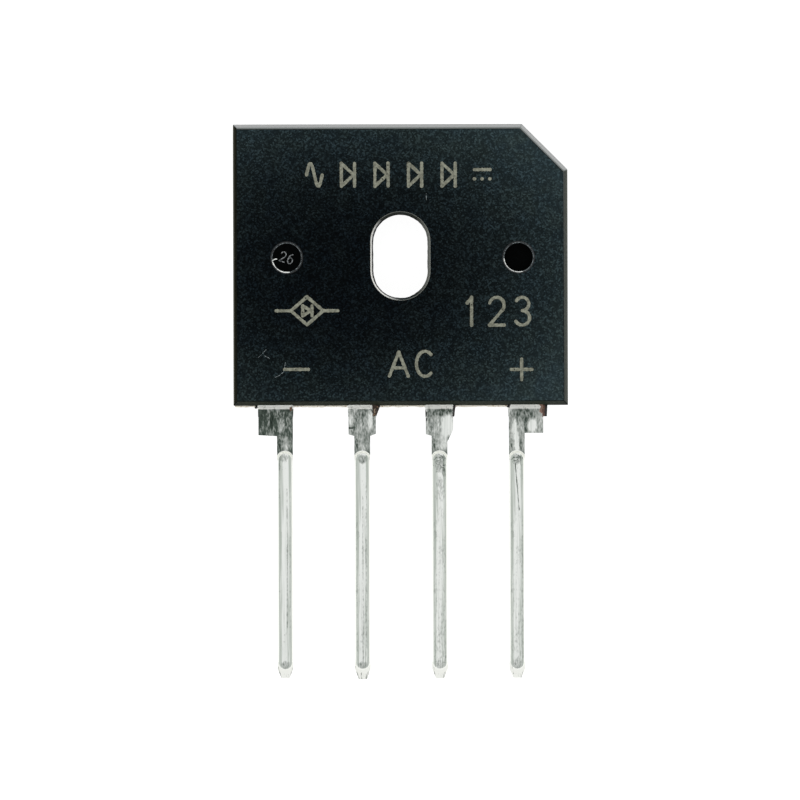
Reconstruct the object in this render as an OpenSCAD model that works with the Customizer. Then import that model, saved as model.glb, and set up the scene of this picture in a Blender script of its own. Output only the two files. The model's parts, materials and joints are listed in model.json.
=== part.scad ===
// Single-phase bridge rectifier in a flat four-lead in-line case.
// Four diode chips are soldered to a stamped copper leadframe and joined by four copper clips. A drafted
// moulding with a screw slot and one cut corner seals them, and four tinned leads come out of its edge.
//
// Frame: the back (heatsink) face lies on z = 0 and the marked face looks up. The origin is the centre of the
// screw slot on the back face, +Y points away from the leads, and the plus lead is on the +X side.
// All sizes are in millimetres.

/* [Moulded body] */
// Width of the body, across the row of leads, at the parting line
body_w = 22; // [21:0.1:27]
// Height of the body, from the edge with the leads to the top edge, at the parting line
body_h = 18.5; // [17.6:0.1:23]
// Thickness of the body, from the back face to the marked face
body_t = 3.45; // [3.2:0.05:4.2]
// Draft of the outer walls, which lean inwards both ways from the parting line
wall_draft = 9; // [1:0.5:12]
// What the corner beside the plus lead loses from each of its two edges
corner_cut = 3; // [1:0.1:4]

/* [Screw slot] */
// Width of the slot at the parting line, where it is narrowest
slot_w = 3.6; // [2.8:0.1:4.4]
// Length of the slot at the parting line
slot_l = 5.5; // [4.6:0.1:6.6]
// Distance from the top edge of the body to the centre of the slot
slot_from_top = 8.7; // [8.2:0.1:10.5]
// Draft of the slot's walls, which open both ways from the parting line
slot_draft = 5; // [1:0.5:9]

/* [Mould pin marks] */
// Distance from the slot's centre to the shallow ejector mark, on the minus side
ejector_x = 7.45; // [6.5:0.05:8.5]
// Diameter of the ejector mark
ejector_d = 1.85; // [1:0.05:2.5]
// Depth of the ejector mark below the marked face
ejector_depth = 0.12; // [0.05:0.01:0.3]
// Distance from the slot's centre to the support pin's hole, on the plus side
support_x = 7.75; // [6.5:0.05:8.5]
// Diameter of the support pin's hole
support_d = 1.85; // [1:0.05:2.2]
// Depth of the support pin's hole below the marked face
support_depth = 0.85; // [0.3:0.05:1]
// How far below the slot's centre both marks lie, on the side of the leads
mark_drop = 0.1; // [0:0.05:0.5]
// Width of the flare at the mouth of both marks
mark_flare = 0.08; // [0.02:0.01:0.12]
// Height of the thin lip of compound that stands round both marks
lip_h = 0.03; // [0.01:0.01:0.06]
// Width of that lip
lip_w = 0.06; // [0.03:0.01:0.1]

/* [Leads] */
// Distance between the centres of neighbouring leads
lead_pitch = 5.08; // [4.2:0.02:5.6]
// Width of the strip that each lead is cut from
lead_w = 1.04; // [0.8:0.02:1.3]
// Thickness of the sheet that the whole leadframe is stamped from
lead_t = 0.5; // [0.4:0.02:0.6]
// Length of the leads below the body
lead_l = 18; // [12:0.5:22]
// Height of the leads' lower face above the back face
lead_z = 1.45; // [1.25:0.05:1.6]
// Length of the wide shoulder below the body
shoulder_l = 2; // [1:0.1:3]
// Width of the shoulder on the two inner leads, centred on the lead
inner_shoulder_w = 1.8; // [1.4:0.05:2.2]
// Width of the shoulder on the two outer leads, which grows outwards only
outer_shoulder_w = 2.26; // [1.4:0.05:2.7]
// Length of plain strip between the shoulder and the coined shank
neck_l = 1.15; // [0.5:0.05:2]
// Width and depth of the bevel that coining leaves along the shank's edges
coin_bevel = 0.1; // [0.05:0.01:0.15]
// Width of the steep outer wall of the coined groove above the shank
coin_lip = 0.05; // [0.02:0.01:0.1]
// Length of the thinned tip below the shank's flat face
tip_l = 0.7; // [0.5:0.05:1.5]
// Width of the tip at its end
tip_w = 0.54; // [0.3:0.02:0.8]
// How much more the tip thins on each face, from the shank to its end
tip_thinning = 0.05; // [0.01:0.01:0.07]
// Height of the bar that tied the leads together until it was cropped off under the body
dam_bar_h = 0.74; // [0.4:0.02:1.2]

/* [Leadframe inside the body] */
// How far the pads are set down below the leads, towards the back face
down_set = 0.65; // [0.4:0.05:0.8]
// Length of straight lead inside the body before the down-set
entry_l = 0.9; // [0.6:0.1:1.5]
// Cover of compound between the pads and the body's outline
pad_margin = 1.2; // [0.8:0.05:1.5]
// Wall of compound between the slot's widest opening and the pads
slot_wall = 0.9; // [0.6:0.05:1.1]
// Gap between neighbouring pads
pad_gap = 0.8; // [0.5:0.05:1]
// Width of the strip that passes the slot on its way to the top pad
riser_w = 1.7; // [1.2:0.05:2]
// Diameter of the hole in each pad that the compound grips
lock_hole_d = 0.8; // [0.5:0.05:1]

/* [Chips and clips] */
// Width of the square diode chips
chip_w = 2.1; // [1.6:0.05:2.5]
// Thickness of the chips
chip_t = 0.25; // [0.2:0.01:0.32]
// Bevel round a chip's upper face, which holds its glass edge
chip_bevel = 0.12; // [0.05:0.01:0.2]
// Thickness of every solder layer
solder_t = 0.05; // [0.03:0.01:0.08]
// Pad left free on each side of a chip or a clip's foot
seat_margin = 0.2; // [0.1:0.05:0.4]
// Thickness of the clips' copper sheet
clip_t = 0.3; // [0.2:0.02:0.4]
// Width of the clips
clip_w = 1.4; // [1:0.05:1.8]
// Length of the flat by which a clip sits on its chip
contact_l = 1.4; // [1:0.05:1.6]
// Length of the flat foot at a clip's other end
foot_l = 1.2; // [0.8:0.05:1.6]
// How far the bridge of a clip rises above its chip contact
clip_rise = 0.2; // [0.1:0.05:0.4]

/* [Hidden] */
$fn = 64;
// Overshoot of cutters past the face that they open
over = 0.2;
// Overlap of the shapes that make one outline
lap = 0.01;

// What cropping left of the dam bar beside each shoulder of the four leads:
// width at the body and at the lower end on the left, then the same on the right
dam_stubs = [
    [0.04, 0.02, 0.05, 0.02],
    [0.04, 0.02, 0.3, 0.02],
    [0.04, 0.02, 0.16, 0.08],
    [0.06, 0.02, 0.28, 0.24]
];
// How much shorter than shoulder_l each shoulder is
shoulder_cuts = [0, 0, 0, 0.17];
// How far a worn punch let each shoulder's lower edge rise to its left and to its right corner
corner_rises = [[0.07, 0], [0.1, 0.14], [0.1, 0.4], [0, 0]];
// How far below the shoulder that wear reaches down the lead's right side
corner_drops = [0, 0, 0.4, 0];
// How much shorter than lead_l each lead was cropped
tip_cuts = [0.1, 0, 0.06, 0.08];

// The body's outline, seen from the marked face
body_top = slot_from_top;
body_bottom = slot_from_top - body_h;
parting_z = lead_z + lead_t / 2;
cut_corner_sum = body_w / 2 + body_top - corner_cut;

// Heights of the stack, from the back face up
pad_z = lead_z - down_set;
pad_top = pad_z + lead_t;
chip_z = pad_top + solder_t;
contact_z = chip_z + chip_t + solder_t;
bridge_z = contact_z + clip_rise;
foot_z = pad_top + solder_t;

// Stations along a lead, from the body down
shoulder_y = body_bottom - shoulder_l;
neck_y = shoulder_y - neck_l;
tip_y = body_bottom - lead_l;
coin_r = lead_w / 2 - coin_bevel;
upper_arch_y = neck_y - coin_r;
lower_arch_y = tip_y + tip_l + coin_r;

// Edges of the pads
slot_growth = max(parting_z, body_t - parting_z) * tan(slot_draft);
slot_clear_x = slot_w / 2 + slot_growth + slot_wall;
slot_clear_y = slot_l / 2 + slot_growth + slot_wall;
pad_y0 = body_bottom + entry_l + down_set;
pad_y1 = body_top - pad_margin;
riser_x1 = slot_clear_x + riser_w;
side_x0 = riser_x1 + pad_gap;
side_x1 = body_w / 2 - pad_margin;

// Places of the chips and the clips' feet. Each clip runs along -X from its chip to its foot.
chip_row_y = slot_clear_y + seat_margin + chip_w / 2;
plus_chip_x = side_x0 + seat_margin + chip_w / 2;
ac_chip_x = -riser_x1 + seat_margin + chip_w / 2;
minus_foot_x = -side_x0 - seat_margin - foot_l / 2;
ac_left_foot_x = lead_x(2) - inner_shoulder_w / 2 - pad_gap - seat_margin - foot_l / 2;
ac_right_foot_x = riser_x1 - seat_margin - foot_l / 2;
// [x of the chip, x of the foot, y of both] of the four diodes
DIODES = [
    [plus_chip_x, ac_right_foot_x, chip_row_y],
    [plus_chip_x, ac_left_foot_x, -chip_row_y],
    [ac_chip_x, minus_foot_x, -chip_row_y],
    [ac_chip_x, minus_foot_x, chip_row_y]
];

// ---- Shared shapes ----

function lead_x(i) = (i - 1.5) * lead_pitch;

// Left and right edges of lead i's shoulder, from the lead's own centre
function shoulder_edges(i) =
    i == 0 ? [lead_w / 2 - outer_shoulder_w, lead_w / 2] :
    i == 3 ? [-lead_w / 2, outer_shoulder_w - lead_w / 2] :
    [-inner_shoulder_w / 2, inner_shoulder_w / 2];

// Left-hand unit normal of the line from a to b
function left_normal(a, b) = let (d = b - a) [-d.y, d.x] / norm(d);

// Section of a sheet of thickness t whose lower face follows the path from left to right, with mitred bends
function sheet_section(path, t) =
    let (
        last = len(path) - 1,
        upper = [
            for (i = [last:-1:0])
                let (
                    before = left_normal(path[max(i - 1, 0)], path[max(i, 1)]),
                    after = left_normal(path[min(i, last - 1)], path[min(i + 1, last)])
                )
                path[i] + t * (before + after) / (1 + before * after)
        ]
    )
    concat(path, upper);

// A rectangle given by its edges
module edges(x0, x1, y0, y1) {
    translate([x0, y0]) square([x1 - x0, y1 - y0]);
}

// A block w by l by t on z = 0 whose four upper edges are bevelled at 45 degrees
module bevelled_block(w, l, t, bevel) {
    intersection() {
        rotate([90, 0, 0]) linear_extrude(l, center = true) bevelled_section(w, t, bevel);
        rotate([90, 0, 90]) linear_extrude(w, center = true) bevelled_section(l, t, bevel);
    }
}

module bevelled_section(w, t, bevel) {
    polygon([
        [-w / 2, 0], [w / 2, 0], [w / 2, t - bevel],
        [w / 2 - bevel, t], [bevel - w / 2, t], [-w / 2, t - bevel]
    ]);
}

// ---- Moulded body ----

// A long bar along Y between walls at x0 and x1 that lean inwards from the parting line
module drafted_bar(x0, x1) {
    back = parting_z * tan(wall_draft);
    front = (body_t - parting_z) * tan(wall_draft);
    rotate([90, 0, 0]) linear_extrude(4 * (body_w + body_h), center = true)
        polygon([
            [x0, parting_z], [x0 + back, 0], [x1 - back, 0],
            [x1, parting_z], [x1 - front, body_t], [x0 + front, body_t]
        ]);
}

module drafted_block() {
    intersection() {
        drafted_bar(-body_w / 2, body_w / 2);
        rotate(90) drafted_bar(body_bottom, body_top);
        rotate(45) drafted_bar(-body_w - body_h, cut_corner_sum / sqrt(2));
    }
}

// One half of the slot, which opens from z = 0 upwards over the depth
module slot_half(depth) {
    reach = depth + over;
    r0 = slot_w / 2;
    r1 = r0 + reach * tan(slot_draft);
    straight = slot_l - slot_w;
    for (side = [-1, 1]) translate([0, side * straight / 2, 0]) cylinder(h = reach, r1 = r0, r2 = r1);
    rotate([90, 0, 0]) linear_extrude(straight, center = true)
        polygon([[-r0, 0], [r0, 0], [r1, reach], [-r1, reach]]);
}

module slot() {
    translate([0, 0, parting_z]) slot_half(body_t - parting_z);
    translate([0, 0, parting_z]) mirror([0, 0, 1]) slot_half(parting_z);
}

// A round mark in the marked face, flared at its mouth
module pin_mark(d, depth) {
    mouth = body_t + lip_h;
    translate([0, 0, body_t - depth]) cylinder(h = depth + over, d = d);
    translate([0, 0, mouth - mark_flare]) cylinder(h = mark_flare + lap, d1 = d, d2 = d + 2 * (mark_flare + lap));
}

module pin_lip(d) {
    translate([0, 0, body_t - lap]) cylinder(h = lip_h + lap, d = d + 2 * (mark_flare + lip_w));
}

module moulded_body() {
    color("#1d262a") difference() {
        union() {
            drafted_block();
            translate([-ejector_x, -mark_drop, 0]) pin_lip(ejector_d);
            translate([support_x, -mark_drop, 0]) pin_lip(support_d);
        }
        slot();
        translate([-ejector_x, -mark_drop, 0]) pin_mark(ejector_d, ejector_depth);
        translate([support_x, -mark_drop, 0]) pin_mark(support_d, support_depth);
        for (i = [0:3]) lead(i);
        for (i = [0:3]) {
            chip(i);
            clip(i);
            die_solder(i);
            contact_solder(i);
            foot_solder(i);
        }
    }
}

// ---- Leads and their pads ----

// The part of lead i below the pad: tip, shank, neck and shoulder, and what is left of the dam bar
module lead_outline(i) {
    shoulder = shoulder_edges(i);
    stub = dam_stubs[i];
    low = shoulder_y + shoulder_cuts[i];
    end = tip_y + tip_cuts[i];
    translate([lead_x(i), 0]) {
        polygon([
            [-tip_w / 2, end], [tip_w / 2, end], [lead_w / 2, tip_y + tip_l],
            [lead_w / 2, low + lap], [-lead_w / 2, low + lap], [-lead_w / 2, tip_y + tip_l]
        ]);
        polygon([
            [shoulder[0], low + corner_rises[i][0]], [lap - lead_w / 2, low], [lead_w / 2 - lap, low],
            [lead_w / 2 - lap, low - corner_drops[i]], [lead_w / 2, low - corner_drops[i]],
            [shoulder[1], low + corner_rises[i][1]], [shoulder[1], pad_y0 + lap], [shoulder[0], pad_y0 + lap]
        ]);
        polygon([
            [shoulder[0] - stub[1], body_bottom - dam_bar_h], [shoulder[1] + stub[3], body_bottom - dam_bar_h],
            [shoulder[1] + stub[2], body_bottom + lap], [shoulder[0] - stub[0], body_bottom + lap]
        ]);
    }
}

// The paddle that lead i ends in. The four of them make a ring round the slot.
module pad_outline(i) {
    if (i == 0) edges(-side_x1, -side_x0, pad_y0, pad_y1);
    if (i == 1) edges(-riser_x1, lead_x(2) - inner_shoulder_w / 2 - pad_gap, pad_y0, -slot_clear_y);
    if (i == 2) {
        edges(-riser_x1, riser_x1, slot_clear_y, pad_y1);
        riser_outline();
    }
    if (i == 3) {
        corner_sum = cut_corner_sum - sqrt(2) * pad_margin;
        polygon([
            [side_x0, pad_y0], [side_x1, pad_y0], [side_x1, corner_sum - side_x1],
            [corner_sum - pad_y1, pad_y1], [side_x0, pad_y1]
        ]);
    }
}

// From the third lead's shoulder the strip steps aside at 45 degrees and passes the slot
module riser_outline() {
    x0 = lead_x(2) - inner_shoulder_w / 2;
    x1 = lead_x(2) + inner_shoulder_w / 2;
    polygon([
        [x0, pad_y0], [x1, pad_y0], [riser_x1, pad_y0 + abs(riser_x1 - x1)], [riser_x1, slot_clear_y + lap],
        [slot_clear_x, slot_clear_y + lap], [slot_clear_x, pad_y0 + abs(slot_clear_x - x0)]
    ]);
}

// Centre of the hole in pad i that the compound flows through
function lock_hole(i) =
    i == 2 ? [(slot_clear_x + riser_x1) / 2, 0] : [lead_x(i), pad_y0 + lock_hole_d];

// Side section of the leadframe: leads high, pads set down
module frame_section() {
    polygon(sheet_section([
        [tip_y, lead_z], [body_bottom + entry_l, lead_z], [pad_y0, pad_z], [pad_y1, pad_z]
    ], lead_t));
}

// What coining takes from the upper face of a shank: both edges, a groove round the flat's upper end,
// and the face of the tip. z = 0 is the middle of the sheet and x = 0 the middle of the lead.
module coining() {
    face = lead_t / 2;
    floor_z = face - coin_bevel;
    reach = coin_bevel + over;
    shank = upper_arch_y - lower_arch_y;
    tip_r = coin_r + tip_l + over;
    for (side = [0, 1]) mirror([side, 0, 0]) translate([0, upper_arch_y, 0]) rotate([90, 0, 0])
        linear_extrude(shank)
            polygon([[coin_r, face], [coin_r + reach, face - reach], [coin_r + reach, face + over], [coin_r, face + over]]);
    translate([0, upper_arch_y, 0]) rotate_extrude(angle = 180)
        polygon([
            [coin_r, face], [coin_r + coin_bevel, floor_z], [coin_r + coin_bevel + coin_lip, face],
            [coin_r + coin_bevel + coin_lip, face + over], [coin_r, face + over]
        ]);
    translate([0, lower_arch_y, 0]) rotate(180) rotate_extrude(angle = 180)
        polygon([
            [coin_r, face], [coin_r + coin_bevel, floor_z], [tip_r, floor_z - tip_thinning],
            [tip_r, face + over], [coin_r, face + over]
        ]);
}

module lead(i) {
    difference() {
        intersection() {
            linear_extrude(body_t) {
                lead_outline(i);
                pad_outline(i);
            }
            rotate([90, 0, 90]) linear_extrude(2 * body_w, center = true) frame_section();
        }
        translate(concat(lock_hole(i), [pad_z - over])) cylinder(h = lead_t + 2 * over, d = lock_hole_d);
        translate([lead_x(i), 0, parting_z]) {
            coining();
            mirror([0, 0, 1]) coining();
        }
    }
}

module lead_minus() { color("#c4cac5") lead(0); }
module lead_ac_left() { color("#c4cac5") lead(1); }
module lead_ac_right() { color("#c4cac5") lead(2); }
module lead_plus() { color("#c4cac5") lead(3); }

// ---- Diodes: chip, clip and solder ----

module at_chip(i) {
    translate([DIODES[i].x, DIODES[i][2], 0]) children();
}

module chip(i) {
    color("#7d8590") at_chip(i) translate([0, 0, chip_z]) bevelled_block(chip_w, chip_w, chip_t, chip_bevel);
}

// Solder under the chip, with a small fillet all round
module die_solder(i) {
    size = chip_w + 2 * solder_t;
    color("#a4a8ac") at_chip(i) translate([0, 0, pad_top]) bevelled_block(size, size, solder_t, solder_t);
}

// Solder between the chip's upper face and its clip
module contact_solder(i) {
    color("#a4a8ac") at_chip(i) translate([0, 0, contact_z - solder_t])
        bevelled_block(contact_l, clip_w, solder_t, solder_t / 2);
}

// Solder between a clip's foot and the next pad
module foot_solder(i) {
    color("#a4a8ac") translate([DIODES[i][1], DIODES[i][2], pad_top])
        bevelled_block(foot_l, clip_w, solder_t, solder_t / 2);
}

// A strip that is formed up from its foot, bridges the gap between two pads, and steps down onto the chip
module clip(i) {
    foot_x = DIODES[i][1];
    chip_x = DIODES[i].x;
    foot_end = foot_x + foot_l / 2;
    contact_start = chip_x - contact_l / 2;
    color("#b8733a") translate([0, DIODES[i][2], 0]) rotate([90, 0, 0]) linear_extrude(clip_w, center = true)
        polygon(sheet_section([
            [foot_x - foot_l / 2, foot_z], [foot_end, foot_z],
            [foot_end + bridge_z - foot_z, bridge_z], [contact_start - clip_rise, bridge_z],
            [contact_start, contact_z], [chip_x + contact_l / 2, contact_z]
        ], clip_t));
}

moulded_body();
lead_minus();
lead_ac_left();
lead_ac_right();
lead_plus();
chip(0);  // chip_ac_right_to_plus
chip(1);  // chip_ac_left_to_plus
chip(2);  // chip_minus_to_ac_left
chip(3);  // chip_minus_to_ac_right
clip(0);  // clip_ac_right_to_plus
clip(1);  // clip_ac_left_to_plus
clip(2);  // clip_minus_to_ac_left
clip(3);  // clip_minus_to_ac_right
die_solder(0);  // die_solder_1
die_solder(1);  // die_solder_2
die_solder(2);  // die_solder_3
die_solder(3);  // die_solder_4
contact_solder(0);  // contact_solder_1
contact_solder(1);  // contact_solder_2
contact_solder(2);  // contact_solder_3
contact_solder(3);  // contact_solder_4
foot_solder(0);  // foot_solder_1
foot_solder(1);  // foot_solder_2
foot_solder(2);  // foot_solder_3
foot_solder(3);  // foot_solder_4
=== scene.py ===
# %% [markdown]
# # A bridge rectifier in a flat four-lead case
# The real part is one block of black moulding compound, about as big as a fingernail, with four tinned
# copper leads in a row. The engineering model already holds every solid at its true size. This lesson
# gives those solids their surfaces: matt black compound, dull tin, laser marks, and the small leftovers of
# manufacture. Heights, walls and leads come from the frame. Marks and wear are placed in millimetres from
# its origin, which is the middle of the screw slot.

# %% Load the frame
import json
import math

import bmesh
import bpy
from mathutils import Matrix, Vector


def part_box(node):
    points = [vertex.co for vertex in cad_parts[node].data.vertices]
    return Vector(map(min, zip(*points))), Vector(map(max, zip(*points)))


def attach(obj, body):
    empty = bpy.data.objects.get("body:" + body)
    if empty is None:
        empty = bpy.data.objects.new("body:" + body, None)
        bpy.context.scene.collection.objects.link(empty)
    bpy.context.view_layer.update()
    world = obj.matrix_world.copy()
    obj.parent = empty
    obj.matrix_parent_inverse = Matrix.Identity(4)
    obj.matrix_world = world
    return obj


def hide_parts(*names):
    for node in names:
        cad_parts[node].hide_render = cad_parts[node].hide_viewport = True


MM = 0.001
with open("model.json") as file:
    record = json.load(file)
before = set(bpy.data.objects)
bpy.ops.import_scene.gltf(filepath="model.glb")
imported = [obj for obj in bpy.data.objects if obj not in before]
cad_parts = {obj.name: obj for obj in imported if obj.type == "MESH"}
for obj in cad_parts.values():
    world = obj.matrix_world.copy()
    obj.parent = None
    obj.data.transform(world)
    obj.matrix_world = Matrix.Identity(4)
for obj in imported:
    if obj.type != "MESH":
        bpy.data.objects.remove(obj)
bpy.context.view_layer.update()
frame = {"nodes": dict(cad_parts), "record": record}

# %% [markdown]
# ## Sizes that the other steps share
# Lengths are written in millimetres, and MM turns them into metres. The block's box, the height of its
# parting line (where the two halves of the mould met) and the row of leads come from the model. The
# parting line runs through the middle of the lead sheet, so the record's place for the lead row gives its
# height. The rims of the two round marks stand a little above the marked face, so that face is a little
# lower than the block's box.

# %% Measure the block and the lead row
MARK_LIP = 0.03
body_low, body_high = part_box("moulded_body")
mounts = {mount["name"]: mount for mount in frame["record"]["mounts"]}
parting_z = mounts["lead_row"]["pos_m"][2] / MM
lead_pitch = mounts["lead_row"]["dims"]["spacing_x_mm"]
slot_width = 2 * mounts["screw_slot"]["dims"]["hole_r_mm"]
slot_length = mounts["screw_slot"]["dims"]["slot_length_mm"]
face_z = body_high.z / MM - MARK_LIP
lead_names = ["lead_minus", "lead_ac_left", "lead_ac_right", "lead_plus"]
lead_centres = [(number - 1.5) * lead_pitch for number in range(4)]
print("marked face at", round(face_z, 3), "mm, parting line at", round(parting_z, 3), "mm")
print("lead centres in mm:", [round(x, 2) for x in lead_centres])

# %% [markdown]
# ## The camera
# Catalogues show small parts square on, from far away through a long lens, so that parallel edges stay
# parallel. A 400 mm lens more than half a metre above the part does the same. The part lies a fraction of
# a degree off square, as a part laid down by hand does, and the camera's roll shows that.

# %% Put up the camera
# The width and the centre of the view in mm; the lens and its sensor are in mm too, as on a real camera
VIEW_WIDTH = 52.6
VIEW_CENTRE = (-0.05, -9.443)
ROLL_DEGREES = -0.15
LENS = 400
SENSOR = 36


def metres(point):
    """A point given in mm, in metres."""
    return [part * MM for part in point]


def new_object(name, data):
    """An object that holds the data, linked into the scene."""
    thing = bpy.data.objects.new(name, data)
    bpy.context.collection.objects.link(thing)
    return thing


camera_data = bpy.data.cameras.new("camera")
camera_data.lens = LENS
camera_data.sensor_width = SENSOR
camera_data.clip_start = 0.05
camera_data.clip_end = 20
camera = new_object("camera", camera_data)
camera.location = metres((*VIEW_CENTRE, parting_z + VIEW_WIDTH * LENS / SENSOR))
camera.rotation_euler = (0, 0, math.radians(ROLL_DEGREES))
bpy.context.scene.camera = camera
bpy.context.scene.view_settings.view_transform = "Standard"
print("camera height in mm:", round(camera.location.z / MM))

# %% [markdown]
# ## Helpers for materials
# Colours are written as the hex values that a colour picker shows, and one function turns them into the
# linear numbers that the shaders want. Every node is added by one other function, which takes the node's
# inputs, each either a plain value or the output of another node, and then its settings. A finish starts
# with object coordinates in millimetres, so that a pattern's scale is one over its real size.

# %% Helpers for colours and nodes


def linear(hex_colour):
    """Linear RGBA from an sRGB hex colour such as #20292c."""
    parts = [int(hex_colour[start:start + 2], 16) / 255 for start in (1, 3, 5)]
    return [part / 12.92 if part <= 0.04045 else ((part + 0.055) / 1.055) ** 2.4 for part in parts] + [1]


def fill(node, inputs):
    """Sets a node's inputs to plain values, or links them to the outputs of other nodes."""
    for name, value in inputs.items():
        if isinstance(value, bpy.types.NodeSocket):
            node.id_data.links.new(value, node.inputs[name])
        else:
            node.inputs[name].default_value = value


def add_node(tree, kind, inputs=None, **settings):
    """Adds one node, applies its settings, fills its inputs, and returns it."""
    node = tree.nodes.new(kind)
    for name, value in settings.items():
        setattr(node, name, value)
    fill(node, inputs or {})
    return node


# %% Helpers that start a finish and lay one colour over another
# A Mix node has sockets for every kind of data. These are the numbers of its two colours and of their mix.
COLOUR_A, COLOUR_B, MIXED = 6, 7, 2


def start_finish(name, centre=(0, 0, 0)):
    """A new material, its node tree, its shader, and object coordinates in mm from a centre in mm."""
    finish = bpy.data.materials.new(name)
    finish.use_nodes = True
    tree = finish.node_tree
    place = add_node(tree, "ShaderNodeTexCoord").outputs["Object"]
    in_mm = add_node(tree, "ShaderNodeMapping", {
        "Vector": place, "Scale": (1 / MM, 1 / MM, 1 / MM), "Location": [-part for part in centre],
    })
    return finish, tree, tree.nodes["Principled BSDF"], in_mm.outputs["Vector"]


def tinted(tree, colour, mask, tint, amount=1.0):
    """A colour, given as hex or as an output, with a tint laid over it where the mask is."""
    share = add_node(tree, "ShaderNodeMath", {0: mask, 1: amount}, operation="MULTIPLY", use_clamp=True)
    mix = add_node(tree, "ShaderNodeMix", {
        "Factor": share.outputs[0],
        COLOUR_A: linear(colour) if isinstance(colour, str) else colour,
        COLOUR_B: linear(tint),
    }, data_type="RGBA")
    return mix.outputs[MIXED]


def mottled(name, dark, light, grain, detail, spread, values, relief=None):
    """A finish mottled from dark to light between two levels of noise, with grains of a size in mm.

    Values are numbers for the shader's own inputs, and relief is the strength and the depth in mm of a bump.
    """
    finish, tree, shader, here = start_finish(name)
    noise = add_node(tree, "ShaderNodeTexNoise", {"Vector": here, "Scale": 1 / grain, "Detail": detail})
    level = add_node(tree, "ShaderNodeMapRange", {
        "Value": noise.outputs["Fac"], "From Min": spread[0], "From Max": spread[1],
    })
    fill(shader, {"Base Color": tinted(tree, dark, level.outputs["Result"], light), **values})
    if relief:
        strength, depth = relief
        bump = add_node(tree, "ShaderNodeBump", {
            "Height": noise.outputs["Fac"], "Strength": strength, "Distance": depth * MM,
        })
        fill(shader, {"Normal": bump.outputs["Normal"]})
    return finish


# %% [markdown]
# ## The floor
# The part lies on a plain pale sheet. Seen directly or in a reflection the sheet glows a little, so that
# it reads as clean white paper, and the rest of its brightness is real light, which keeps the part's soft
# shadow. From beneath the sheet is clear, so that the back of the part can be looked at as well. It
# doesn't stop light that leaves a surface lying right on it either, so that the back isn't left in the
# dark.

# %% Lay the floor, with its side in metres and the other lengths in mm
FLOOR_SIDE = 3.0
FLOOR_GAP = 0.02
TOUCHING = 0.5
GLOW = 0.92
half = FLOOR_SIDE / 2
corners = [(x, y, -FLOOR_GAP * MM) for x, y in ((-half, -half), (half, -half), (half, half), (-half, half))]
floor_mesh = bpy.data.meshes.new("floor")
floor_mesh.from_pydata(corners, [], [(0, 1, 2, 3)])
floor = new_object("floor", floor_mesh)

paper = bpy.data.materials.new("pale matt paper")
paper.use_nodes = True
tree = paper.node_tree
tree.nodes.clear()
rays = add_node(tree, "ShaderNodeLightPath").outputs
looked_at = rays["Is Camera Ray"]
for kind in ("Is Glossy Ray", "Is Transmission Ray"):
    looked_at = add_node(tree, "ShaderNodeMath", {
        0: looked_at, 1: rays[kind],
    }, operation="MAXIMUM").outputs[0]
plain = add_node(tree, "ShaderNodeBsdfDiffuse", {"Color": linear("#eeeeec")})
seen = add_node(tree, "ShaderNodeBsdfDiffuse", {"Color": linear("#959595")})
glow = add_node(tree, "ShaderNodeEmission", {"Color": (1, 1, 1, 1), "Strength": GLOW})
bright = add_node(tree, "ShaderNodeAddShader", {0: seen.outputs[0], 1: glow.outputs[0]})
sheet = add_node(tree, "ShaderNodeMixShader", {0: looked_at, 1: plain.outputs[0], 2: bright.outputs[0]})
close = add_node(tree, "ShaderNodeMath", {0: rays["Ray Length"], 1: TOUCHING * MM}, operation="LESS_THAN")
beneath = add_node(tree, "ShaderNodeNewGeometry").outputs["Backfacing"]
passes = add_node(tree, "ShaderNodeMath", {0: close.outputs[0], 1: beneath}, operation="MAXIMUM")
clear = add_node(tree, "ShaderNodeBsdfTransparent")
one_way = add_node(tree, "ShaderNodeMixShader", {
    0: passes.outputs[0], 1: sheet.outputs[0], 2: clear.outputs[0],
})
add_node(tree, "ShaderNodeOutputMaterial", {"Surface": one_way.outputs[0]})
floor_mesh.materials.append(paper)
print("floor", FLOOR_SIDE, "m wide")

# %% [markdown]
# ## Soft studio light
# A white tent surrounds the part. Its walls are brighter than its roof, so flat tin that faces up reads
# light grey, while bevels, which mirror the walls, read almost white. A strip lamp stands low behind the
# part, a little to its right: it draws a bright crescent on every rim that faces it, and leaves the flat
# faces alone.

# %% Put up the tent
WALLS = 1.08
ROOF = 0.84
ROOF_STARTS, ROOF_FULL = 0.3, 0.9
world = bpy.data.worlds.new("light tent")
bpy.context.scene.world = world
world.use_nodes = True
tree = world.node_tree
tree.nodes.clear()
direction = add_node(tree, "ShaderNodeTexCoord").outputs["Generated"]
height = add_node(tree, "ShaderNodeSeparateXYZ", {"Vector": direction}).outputs["Z"]
up_or_down = add_node(tree, "ShaderNodeMath", {0: height}, operation="ABSOLUTE")
level = add_node(tree, "ShaderNodeMapRange", {
    "Value": up_or_down.outputs[0], "From Min": ROOF_STARTS, "From Max": ROOF_FULL,
    "To Min": WALLS, "To Max": ROOF,
}, interpolation_type="SMOOTHSTEP")
looked_at = add_node(tree, "ShaderNodeLightPath").outputs["Is Camera Ray"]
shown = add_node(tree, "ShaderNodeMix", {
    "Factor": looked_at, "A": level.outputs["Result"], "B": 1.0,
}, data_type="FLOAT")
tent = add_node(tree, "ShaderNodeBackground", {"Color": (1, 1, 1, 1), "Strength": shown.outputs[0]})
add_node(tree, "ShaderNodeOutputWorld", {"Surface": tent.outputs[0]})
print("tent walls and roof:", WALLS, ROOF)

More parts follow.
